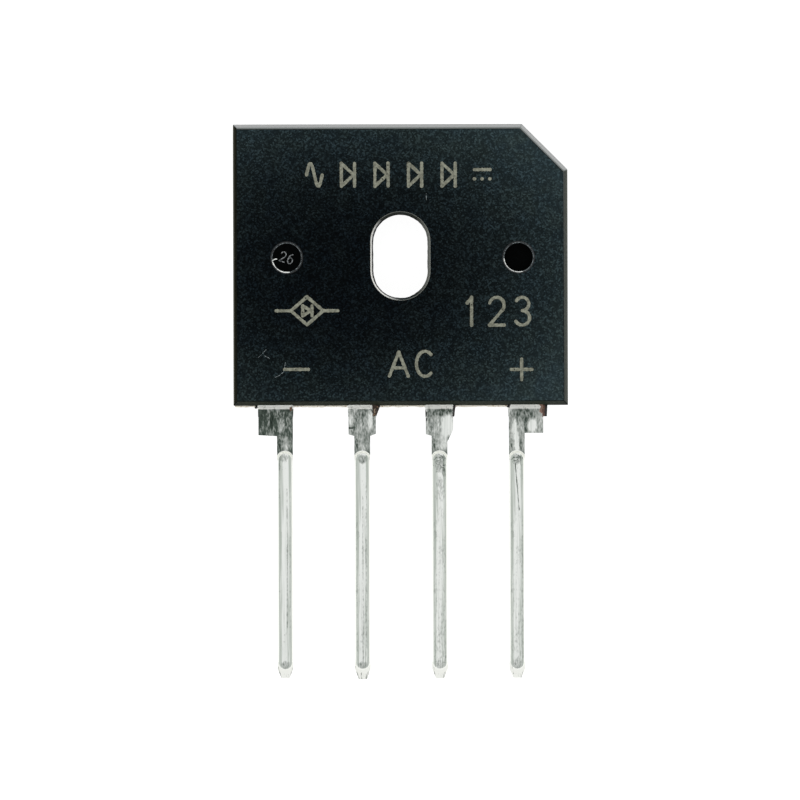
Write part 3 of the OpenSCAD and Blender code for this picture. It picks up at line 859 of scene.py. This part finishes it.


# %% The stains and painted shade of each lead
# Zones: the stain of the shoulder, neck, shank and tip, whose darker shoulder and neck levels are painted
# shade. Patches: (x, y, half width, half height, more stain).
# Streaks: (x at the top, x at the bottom, half width, top, bottom, more stain). Wrinkles: (top, bottom, more
# stain). Tears: (left, right, bottom, top, colour). All in mm; x is measured from the middle of the lead.
LEAD_STAIN_AND_SHADE = {
    "lead_minus": {
        "zones": (0.96, 0.86, -0.30, -0.6),
        "patches": [
            (-0.87, -10.75, 0.13, 0.65, 0.5), (-0.3, -11.1, 0.22, 0.45, -0.35),
            (0.12, -12.25, 0.14, 0.5, -0.3), (-0.08, -13.15, 0.33, 0.35, 0.7),
            (-0.3, -13.8, 0.2, 0.5, 0.3), (0.0, -26.85, 0.35, 0.3, 0.65),
        ],
        "streaks": [
            (-0.36, -0.38, 0.06, -13.1, -16.5, 0.6), (0.13, 0.13, 0.035, -15.25, -24.4, 0.7),
            (0.33, 0.33, 0.05, -15.0, -24.4, 0.3), (-0.50, -0.28, 0.06, -26.95, -27.8, 0.8),
            (0.48, 0.33, 0.06, -26.95, -27.7, 0.7),
        ],
        "wrinkles": [],
        "tears": [(0.3, 0.5, -10.15, -9.88, "#6b4a36")],
    },
    "lead_ac_left": {
        "zones": (0.66, 0.70, -0.20, -0.6),
        "patches": [
            (-0.72, -10.75, 0.15, 0.38, -0.6), (-0.75, -11.28, 0.2, 0.06, 0.7),
            (0.52, -10.8, 0.16, 0.7, -0.6), (-0.2, -10.5, 0.45, 0.4, 0.12),
            (0.0, -13.3, 0.32, 0.35, 0.75), (0.0, -26.85, 0.35, 0.25, 0.6),
        ],
        "streaks": [
            (0.03, 0.03, 0.035, -15.7, -26.6, 0.5), (0.24, 0.24, 0.05, -14.8, -25.8, 0.35),
            (-0.38, -0.38, 0.05, -13.3, -26.0, 0.25), (-0.52, -0.25, 0.07, -26.9, -27.8, 0.6),
            (-0.1, -0.08, 0.05, -27.3, -27.8, 0.4), (0.45, 0.25, 0.08, -26.95, -27.8, 0.55),
        ],
        "wrinkles": [],
        "tears": [
            (0.68, 1.3, -10.5, -9.7, "#3a2c22"), (0.8, 0.86, -10.35, -9.95, "#b09c84"),
            (1.0, 1.3, -10.4, -9.7, "#15110e"),
        ],
    },
    "lead_ac_right": {
        "zones": (0.56, 0.66, -0.08, -0.6),
        "patches": [
            (0.55, -11.1, 0.42, 0.75, -0.75), (0.3, -12.0, 0.25, 0.8, -0.5), (0.25, -10.25, 0.7, 0.28, 0.3),
            (-0.55, -10.3, 0.3, 0.35, 0.3), (0.0, -13.5, 0.42, 0.8, 0.45), (0.3, -14.2, 0.15, 0.3, 0.5),
            (0.0, -15.4, 0.4, 1.0, 0.3), (0.0, -26.8, 0.35, 0.3, 0.3),
        ],
        "streaks": [
            (0.38, 0.38, 0.05, -24.0, -26.6, 0.15), (-0.42, -0.33, 0.04, -26.95, -27.7, 0.7),
            (0.36, 0.27, 0.06, -27.1, -27.7, 0.5),
        ],
        "wrinkles": [(-12.95, -14.2, 0.5), (-26.2, -27.0, 0.2)],
        "tears": [(0.88, 1.3, -10.7, -9.7, "#1c1512"), (-1.0, -0.84, -10.85, -10.1, "#2b332e")],
    },
    "lead_plus": {
        "zones": (0.56, 0.52, -0.12, -0.6),
        "patches": [
            (-0.15, -11.35, 0.16, 0.7, -0.5), (0.0, -12.2, 0.16, 0.8, -0.5), (1.0, -11.1, 0.3, 0.45, -0.7),
            (0.4, -10.45, 0.9, 0.5, 0.25), (0.27, -12.4, 0.12, 0.4, 0.4), (0.6, -11.1, 0.14, 0.6, 0.35),
            (0.0, -13.3, 0.35, 0.4, 0.5), (0.0, -26.8, 0.35, 0.4, 0.4),
        ],
        "streaks": [
            (-0.11, 0.15, 0.035, -13.6, -16.7, 0.9), (0.38, 0.38, 0.06, -17.0, -26.4, 0.3),
            (-0.36, -0.24, 0.04, -26.95, -27.5, 0.7), (0.42, 0.28, 0.06, -26.95, -27.8, 0.5),
        ],
        "wrinkles": [(-12.95, -13.7, 0.6)],
        "tears": [
            (1.55, 2.1, -10.3, -9.7, "#8d6f60"), (1.68, 2.1, -10.6, -9.7, "#5e4034"),
            (1.84, 2.1, -10.6, -9.7, "#120d0b"), (-0.7, -0.42, -9.98, -9.7, "#0c0c0c"),
        ],
    },
}
print("leads with their own wear:", len(LEAD_STAIN_AND_SHADE))

# %% Finish the four leads
LEAD_EDGE_ROUND = 0.025
STAMPED_DEGREES = 40
OUTER_SHOULDER = 2.26
INNER_SHOULDER = 1.8
HALF_LEAD = 0.52
# A sheared side faces sideways by more than this part of its normal, this far outside the shoulder
SIDEWAYS = 0.9
STUB = 0.03
inner = (-INNER_SHOULDER / 2, INNER_SHOULDER / 2)
shoulders = [(HALF_LEAD - OUTER_SHOULDER, HALF_LEAD), inner, inner, (-HALF_LEAD, OUTER_SHOULDER - HALF_LEAD)]
for node, centre, (left, right) in zip(lead_names, lead_centres, shoulders):
    form, lead = merged_copy(node, "tinned_" + node)
    for face in form.faces:
        middle = face.calc_center_median()
        x = middle.x / MM - centre
        sheared = middle.y < body_low.y and abs(face.normal.x) > SIDEWAYS
        torn = sheared and (x < left - STUB or x > right + STUB)
        face.material_index = 1 if torn else 0
    form.to_mesh(lead.data)
    form.free()
    lead.data.materials.append(tinned_copper("tin plate, " + node, centre, LEAD_STAIN_AND_SHADE[node]))
    lead.data.materials.append(TORN_COPPER)
    bevel = lead.modifiers.new("stamped edges", "BEVEL")
    bevel.limit_method = "ANGLE"
    bevel.angle_limit = math.radians(STAMPED_DEGREES)
    bevel.width = LEAD_EDGE_ROUND * MM
    bevel.segments = 2
    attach(lead, "root")
    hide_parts(node)
print("leads finished:", len(lead_names))

# %% [markdown]
# ## What is sealed inside
# Four diode chips, four copper clips and twelve layers of solder are hidden in the block. Nobody sees them
# until the block is cut open, but each gets the finish of the real thing: chips faced with nickel, clips
# of bare stamped copper, and dull grey solder. Their shapes are right as they are, so the model's own
# nodes stay.

# %% Finish the hidden parts: name, dark and light colour, size of the grain in mm, roughness
HIDDEN = {
    "chip": ("nickel-faced silicon", "#6f7681", "#9aa1aa", 0.4, 0.22),
    "clip": ("bare stamped copper", "#b5653c", "#d98f66", 0.3, 0.35),
    "solder": ("dull high-lead solder", "#85898c", "#a9adb0", 0.15, 0.5),
}
for word, (name, dark, light, grain, rough) in HIDDEN.items():
    finish = mottled(
        name, dark, light, grain, 3.0, (0.35, 0.65),
        {"Metallic": 1.0, "Roughness": rough}, relief=(0.5, 0.01))
    solids = [solid for node, solid in frame["nodes"].items() if word in node]
    for solid in solids:
        solid.data.materials.clear()
        solid.data.materials.append(finish)
    print(name, "on", len(solids), "parts")

# %% [markdown]
# ## Tools that follow lines
# Much of what is left to make is thin and follows a line: burnt strokes, a pressed number, flash,
# scratches. Two geometry tools make all of it. Both take lines, lay points along them at even steps, and
# end in real mesh with a finish. What they share is written once.

# %% How a tool starts, ends and is run


def start_tool(name, sizes):
    """A geometry tool with inputs for the sizes: its tree, its inputs, and points laid along its lines."""
    tree = bpy.data.node_groups.new(name, "GeometryNodeTree")
    tree.interface.new_socket("Geometry", in_out="OUTPUT", socket_type="NodeSocketGeometry")
    kinds = {"Geometry": "Geometry", **dict.fromkeys(sizes, "Float"), "Seed": "Int", "Material": "Material"}
    for word, kind in kinds.items():
        tree.interface.new_socket(word, in_out="INPUT", socket_type="NodeSocket" + kind)
    given = add_node(tree, "NodeGroupInput").outputs
    path = add_node(tree, "GeometryNodeMeshToCurve", {"Mesh": given["Geometry"]})
    points = add_node(tree, "GeometryNodeResampleCurve", {
        "Curve": path.outputs[0], "Length": given["Step"],
    }, mode="LENGTH")
    return tree, given, points.outputs[0]


def end_tool(tree, given, shape):
    """Turns a tool's shape into real mesh, gives it the finish, and hands it out."""
    solid = add_node(tree, "GeometryNodeRealizeInstances", {"Geometry": shape})
    painted = add_node(tree, "GeometryNodeSetMaterial", {
        "Geometry": solid.outputs[0], "Material": given["Material"],
    })
    add_node(tree, "NodeGroupOutput", {"Geometry": painted.outputs[0]})
    return tree


def run_tool(tool, name, lines, values):
    """Runs a tool on lines of points in mm; the finished mesh rides on the block."""
    points, edges = [], []
    for line in lines:
        first = len(points)
        points += [metres(point) for point in line]
        edges += [(first + step, first + step + 1) for step in range(len(line) - 1)]
    mesh = bpy.data.meshes.new(name + "_lines")
    mesh.from_pydata(points, edges, [])
    source = new_object(name + "_lines", mesh)
    modifier = source.modifiers.new(name, "NODES")
    modifier.node_group = tool
    for socket in tool.interface.items_tree:
        if socket.in_out == "INPUT" and socket.name in values:
            modifier[socket.identifier] = values[socket.name]
    depsgraph = bpy.context.evaluated_depsgraph_get()
    made = bpy.data.meshes.new_from_object(source.evaluated_get(depsgraph))
    made.name = name
    bpy.data.objects.remove(source)
    piece = new_object(name, made)
    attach(piece, "root")
    print(name, "has", sum(len(face.vertices) - 2 for face in made.polygons), "triangles")


# %% [markdown]
# ## Laser marks
# The marks on the face are burnt by a laser that fires a row of overlapping pulses. Each pulse bleaches
# one round spot of compound to a dull tan. A geometry tool does the same: it takes the lines that the beam
# follows, places a spot every so often, and varies each spot a little, so the strokes look beaded.

# %% A tool that lays spots along lines
SPOT_SIDES = 10
SPOT_TAPER = 0.8


def spot_tool():
    """Geometry nodes that turn lines into rows of low round spots."""
    tree, given, points = start_tool("spots along lines", ("Step", "Radius", "Height", "Unevenness"))
    top = add_node(tree, "ShaderNodeMath", {0: given["Radius"], 1: SPOT_TAPER}, operation="MULTIPLY")
    spot = add_node(tree, "GeometryNodeMeshCone", {
        "Vertices": SPOT_SIDES, "Radius Bottom": given["Radius"], "Radius Top": top.outputs[0],
        "Depth": given["Height"],
    })
    low = add_node(tree, "ShaderNodeMath", {0: 1.0, 1: given["Unevenness"]}, operation="SUBTRACT")
    high = add_node(tree, "ShaderNodeMath", {0: 1.0, 1: given["Unevenness"]}, operation="ADD")
    vary = add_node(tree, "FunctionNodeRandomValue", {
        2: low.outputs[0], 3: high.outputs[0], "Seed": given["Seed"],
    }, data_type="FLOAT")
    spots = add_node(tree, "GeometryNodeInstanceOnPoints", {
        "Points": points, "Instance": spot.outputs["Mesh"], "Scale": vary.outputs[1],
    })
    return end_tool(tree, given, spots.outputs[0])


SPOTS = spot_tool()
print("tool ready:", SPOTS.name)

# %% [markdown]
# ## Strokes of the marks
# Each mark is a few lines and arcs in a cell that is one wide and one high, and is then stretched to its
# place. A bridge rectifier says what its leads are for, with a minus, a plus and AC. The upper row tells
# the circuit in symbols, a wave, four diodes and the direct-current sign. A small drawing of the bridge
# and a plain number fill the lower corners.

# %% Draw the signs


def arc(cx, cy, rx, ry, start, end, steps=18):
    """Points along part of an ellipse, with angles in degrees."""
    turns = [math.radians(start + (end - start) * step / steps) for step in range(steps + 1)]
    return [(cx + rx * math.cos(turn), cy + ry * math.sin(turn)) for turn in turns]


SIGNS = {
    "A": [[(0, 0), (0.5, 1)], [(0.5, 1), (1, 0)], [(0.18, 0.34), (0.82, 0.34)]],
    "C": [arc(0.52, 0.5, 0.52, 0.5, 48, 312)],
    "1": [[(0.25, 0.8), (0.55, 1)], [(0.55, 1), (0.55, 0)]],
    "2": [arc(0.5, 0.72, 0.5, 0.28, 165, -38), [(0.89, 0.55), (0, 0)], [(0, 0), (1, 0)]],
    "3": [arc(0.47, 0.76, 0.45, 0.24, 150, -90), arc(0.47, 0.26, 0.5, 0.26, 90, -150)],
    "6": [arc(0.5, 0.3, 0.48, 0.3, 0, 360), arc(0.86, 0.36, 0.84, 0.62, 184, 100)],
    "minus": [[(0, 0.5), (1, 0.5)]],
    "plus": [[(0, 0.5), (1, 0.5)], [(0.5, 0), (0.5, 1)]],
    "wave": [[(step / 24, 0.5 + 0.42 * math.sin(2 * math.pi * step / 24)) for step in range(25)]],
    "diode": [
        [(0.08, 0.08), (0.08, 0.92)], [(0.08, 0.92), (0.86, 0.5)], [(0.86, 0.5), (0.08, 0.08)],
        [(0.92, 0.08), (0.92, 0.92)],
    ],
    "direct": [[(0, 0.68), (1, 0.68)]] + [[(x, 0.34), (x + 0.02, 0.34)] for x in (0.0, 0.49, 0.98)],
    "bridge": [
        [(0.0, 0.5), (0.24, 0.5)], [(0.76, 0.5), (1.0, 0.5)],
        [(0.24, 0.5), (0.5, 1)], [(0.5, 1), (0.76, 0.5)], [(0.76, 0.5), (0.5, 0)], [(0.5, 0), (0.24, 0.5)],
        [(0.43, 0.32), (0.43, 0.68)], [(0.43, 0.68), (0.56, 0.5)], [(0.56, 0.5), (0.43, 0.32)],
        [(0.58, 0.32), (0.58, 0.68)],
    ],
}
print("signs drawn:", len(SIGNS))

# %% Set the signs in their places on the face
STROKE = 0.22
MARK_LIFT = 0.001


def row(signs, first, pitch, width, low, high):
    """Marks side by side: the first one's left edge, then their pitch, width, lower and upper edge in mm."""
    lefts = [first + pitch * step for step in range(len(signs))]
    return [(sign, left, left + width, low, high) for sign, left in zip(signs, lefts)]


def placed(sign, left, right, low, high, z, stroke):
    """A sign's lines in mm, fitted so that the stroke's own width stays inside its place."""
    half = stroke / 2
    width, height = right - left - stroke, high - low - stroke
    return [[(left + half + x * width, low + half + y * height, z) for x, y in line] for line in SIGNS[sign]]


# Each mark: the sign, then the left, right, lower and upper edges of its ink in mm
MARKS = row(["wave"] + ["diode"] * 4 + ["direct"], -6.25, 2.2, 1.25, 4.32, 6.33)
MARKS += row("123", 4.02, 1.7, 1.18, -4.66, -2.62)
MARKS += [
    ("bridge", -8.27, -3.99, -4.61, -2.55), ("A", -0.85, 0.6, -7.98, -6.2), ("C", 0.92, 2.24, -8.01, -6.14),
    ("minus", -7.73, -5.95, -7.53, -7.31), ("plus", 7.14, 8.72, -8.25, -6.67),
]
mark_lines = [line for mark in MARKS for line in placed(*mark, face_z + MARK_LIFT, STROKE)]
print("signs:", len(MARKS), "lines:", len(mark_lines))

# %% Burn the marks
BURNT = mottled(
    "laser-bleached epoxy", "#6b6c60", "#8f9182", 0.16, 3.0, (0.35, 0.65),
    {"Roughness": 0.8, "Specular IOR Level": 0.1})
run_tool(SPOTS, "laser_marks", mark_lines, {
    "Step": 0.085 * MM, "Radius": STROKE / 2 * MM, "Height": 0.012 * MM, "Unevenness": 0.13,
    "Seed": 5, "Material": BURNT,
})

# %% [markdown]
# ## The number pressed by the pin
# The pin that pushes the block out of the mould leaves a shallow round mark, and the pin's own number, cut
# into its end, stands up from the mark's floor. The number is any plain one. Its strokes are made with the
# same tool as the marks, with small spots close together, and are the compound painted grey, a painted
# highlight for the light that their raised strokes catch.

# %% Press the pin's number
PIN_NUMBER = [("2", -0.46, -0.06, -0.36, 0.36), ("6", 0.06, 0.46, -0.36, 0.36)]
PIN_TURN = math.radians(-17)
PIN_DEPTH, PIN_LIFT = 0.12, 0.01
PIN_STROKE = 0.075
# Painted highlight: the number's strokes are coloured grey for the light they catch
PAINTED_HIGHLIGHT_GREY = mottled(
    "pin-pressed epoxy, painted highlight grey", "#3c4042", "#8b8f90", 0.12, 2.0, (0.40, 0.60),
    {"Roughness": 0.5, "Specular IOR Level": 0.2})
pin_z = face_z - PIN_DEPTH + PIN_LIFT
upright_lines = [line for digit in PIN_NUMBER for line in placed(*digit, pin_z, PIN_STROKE)]
pin_lines = [[(
    EJECTOR[0] + x * math.cos(PIN_TURN) - y * math.sin(PIN_TURN),
    EJECTOR[1] + x * math.sin(PIN_TURN) + y * math.cos(PIN_TURN), z,
) for x, y, z in line] for line in upright_lines]
run_tool(SPOTS, "pin_number", pin_lines, {
    "Step": 0.03 * MM, "Radius": PIN_STROKE / 2 * MM, "Height": 0.04 * MM, "Unevenness": 0.1,
    "Seed": 9, "Material": PAINTED_HIGHLIGHT_GREY,
})

# %% [markdown]
# ## Flash, curls and scratches
# Where two pieces of steel meet, a little resin creeps between them and sets as a ragged film, called
# flash. It lines the parting line between the leads, and a pale torn curl of it stands at the lower left of
# the pin's mark. The pale arcs round the lower left of both round marks are painted highlights, laid as
# films, for the light that catches their rims. A few scratches came later. All are thin, uneven and follow
# a line, so one geometry tool makes them: it sweeps a small circle along the line, lets noise swell and
# shrink it, and presses it flat.

# %% A tool that lays ragged films along lines
BEAD_SIDES = 6


def film_tool():
    """Geometry nodes that sweep an uneven, flattened bead along lines."""
    tree, given, points = start_tool(
        "ragged film along lines", ("Step", "Least", "Most", "Grain", "Level", "Flatness"))
    place = add_node(tree, "GeometryNodeInputPosition").outputs[0]
    fineness = add_node(tree, "ShaderNodeMath", {0: 1.0, 1: given["Grain"]}, operation="DIVIDE")
    wave = add_node(tree, "ShaderNodeTexNoise", {
        "Vector": place, "W": given["Seed"], "Scale": fineness.outputs[0], "Detail": 1.0,
    }, noise_dimensions="4D")
    radius = add_node(tree, "ShaderNodeMapRange", {
        "Value": wave.outputs["Fac"], "From Min": 0.35, "From Max": 0.65,
        "To Min": given["Least"], "To Max": given["Most"],
    })
    ring = add_node(tree, "GeometryNodeCurvePrimitiveCircle", {"Resolution": BEAD_SIDES, "Radius": 1.0})
    bead = add_node(tree, "GeometryNodeCurveToMesh", {
        "Curve": points, "Profile Curve": ring.outputs["Curve"],
        "Scale": radius.outputs["Result"], "Fill Caps": True,
    })
    axes = add_node(tree, "ShaderNodeSeparateXYZ", {"Vector": place})
    above = add_node(tree, "ShaderNodeMath", {0: axes.outputs["Z"], 1: given["Level"]}, operation="SUBTRACT")
    pressed = add_node(tree, "ShaderNodeMath", {
        0: above.outputs[0], 1: given["Flatness"], 2: given["Level"],
    }, operation="MULTIPLY_ADD")
    moved = add_node(tree, "ShaderNodeCombineXYZ", {
        "X": axes.outputs["X"], "Y": axes.outputs["Y"], "Z": pressed.outputs[0],
    })
    flat = add_node(tree, "GeometryNodeSetPosition", {
        "Geometry": bead.outputs[0], "Position": moved.outputs[0],
    })
    return end_tool(tree, given, flat.outputs[0])


FILM = film_tool()
print("tool ready:", FILM.name)

# %% Finishes of the films: name, dark and light colour, grain in mm, and the two levels of noise
RESINS = {
    "cream": ("torn resin flash, cream", "#c0ad92", "#fdf8ea", 0.12, (0.30, 0.45)),
    "brown": ("torn copper edge, brown", "#1a120d", "#a08468", 0.14, (0.42, 0.66)),
    "pale": ("pale torn flash and painted highlight", "#9aa09c", "#f6f8f4", 0.10, (0.35, 0.55)),
    "scored": ("scored epoxy", "#2a3234", "#8d989a", 0.08, (0.40, 0.60)),
    "black": ("resin burr, black", "#060606", "#1c1712", 0.10, (0.40, 0.60)),
}
resins = {}
for word, (name, dark, light, grain, spread) in RESINS.items():
    resins[word] = mottled(
        name, dark, light, grain, 2.0, spread, {"Roughness": 0.6, "Specular IOR Level": 0.3})
print("finishes of the films:", len(resins))

# %% Where each film lies: finish, lines in mm, least and most radius, grain, and flatness
LIP = face_z + 0.005
UNDER = body_low.y / MM - 0.035
STUB_TOP = 1.9
RIM_RADIUS = 0.985
HIGHLIGHT_RADIUS = 0.97


def at_height(z, points):
    """A line through points on one level."""
    return [(x, y, z) for x, y in points]


straight = (slot_length - slot_width) / 2
half_slot = [(x, y + straight) for x, y in arc(0, 0, slot_width / 2, slot_width / 2, 0, 180)]
slot_outline = half_slot + [(-x, -y) for x, y in half_slot] + half_slot[:1]
rims = [arc(*centre, RIM_RADIUS, RIM_RADIUS, 0, 360) for centre in (EJECTOR, SUPPORT)]
print("slot outline in mm:", slot_width, "by", slot_length)
FILMS = {
    "parting_flash": ("cream", [
        at_height(parting_z, [(left, UNDER), (right, UNDER)])
        for left, right in ((-10.9, -9.5), (-7.1, -3.5), (-1.45, 1.6), (3.6, 7.0))
    ], 0.040, 0.095, 0.35, 0.3),
    "slot_ridge": ("black", [at_height(parting_z, slot_outline)], 0.004, 0.030, 0.50, 0.5),
    "mark_rims": ("scored", [at_height(LIP, rim) for rim in rims], 0.004, 0.026, 0.20, 0.4),
    "torn_stubs": ("brown", [
        at_height(STUB_TOP, [(-1.55, -9.86), (-1.52, -10.05), (-1.66, -10.28), (-1.80, -10.52)]),
        at_height(STUB_TOP, [(3.46, -9.86), (3.46, -10.1), (3.44, -10.45)]),
        at_height(STUB_TOP, [(9.36, -9.86), (9.38, -10.1), (9.35, -10.45)]),
    ], 0.03, 0.13, 0.22, 0.6),
    # The arcs of these two films are painted highlights on the rims; the ejector's short second line is a
    # real pale curl of flash
    "ejector_curl_and_highlight": ("pale", [
        at_height(LIP, arc(*EJECTOR, HIGHLIGHT_RADIUS, HIGHLIGHT_RADIUS, 196, 282)),
        at_height(LIP, [(-8.42, -0.34), (-8.34, -0.25), (-8.22, -0.19), (-8.08, -0.18)]),
    ], 0.02, 0.05, 0.30, 0.5),
    "support_rim_highlight": ("pale", [
        at_height(LIP, arc(*SUPPORT, HIGHLIGHT_RADIUS, HIGHLIGHT_RADIUS, 185, 292)),
    ], 0.012, 0.04, 0.35, 0.5),
    "scratches": ("scored", [
        at_height(LIP, [(-9.35, -6.65), (-9.1, -6.42), (-8.81, -6.11)]),
        at_height(LIP, [(-8.95, -6.5), (-8.58, -6.70)]),
        at_height(LIP, [(-8.26, -7.95), (-7.95, -7.82), (-7.67, -7.58), (-7.55, -6.96)]),
        at_height(LIP, [(1.70, 4.1), (1.72, 3.6)]),
    ], 0.004, 0.028, 0.25, 0.15),
    "root_burrs": ("black", [
        [(-9.56, -9.86, 1.7), (-9.42, -9.92, 1.72)], [(3.46, -9.86, 1.7), (3.60, -9.88, 1.72)],
        [(7.02, -9.84, 1.7), (7.17, -9.92, 1.75)],
    ], 0.06, 0.14, 0.20, 0.7),
}
for name, (word, lines, least, most, grain, flatness) in FILMS.items():
    run_tool(FILM, name, lines, {
        "Step": 0.06 * MM, "Least": least * MM, "Most": most * MM, "Grain": grain * MM,
        "Level": lines[0][0][2] * MM, "Flatness": flatness, "Seed": 3, "Material": resins[word],
    })
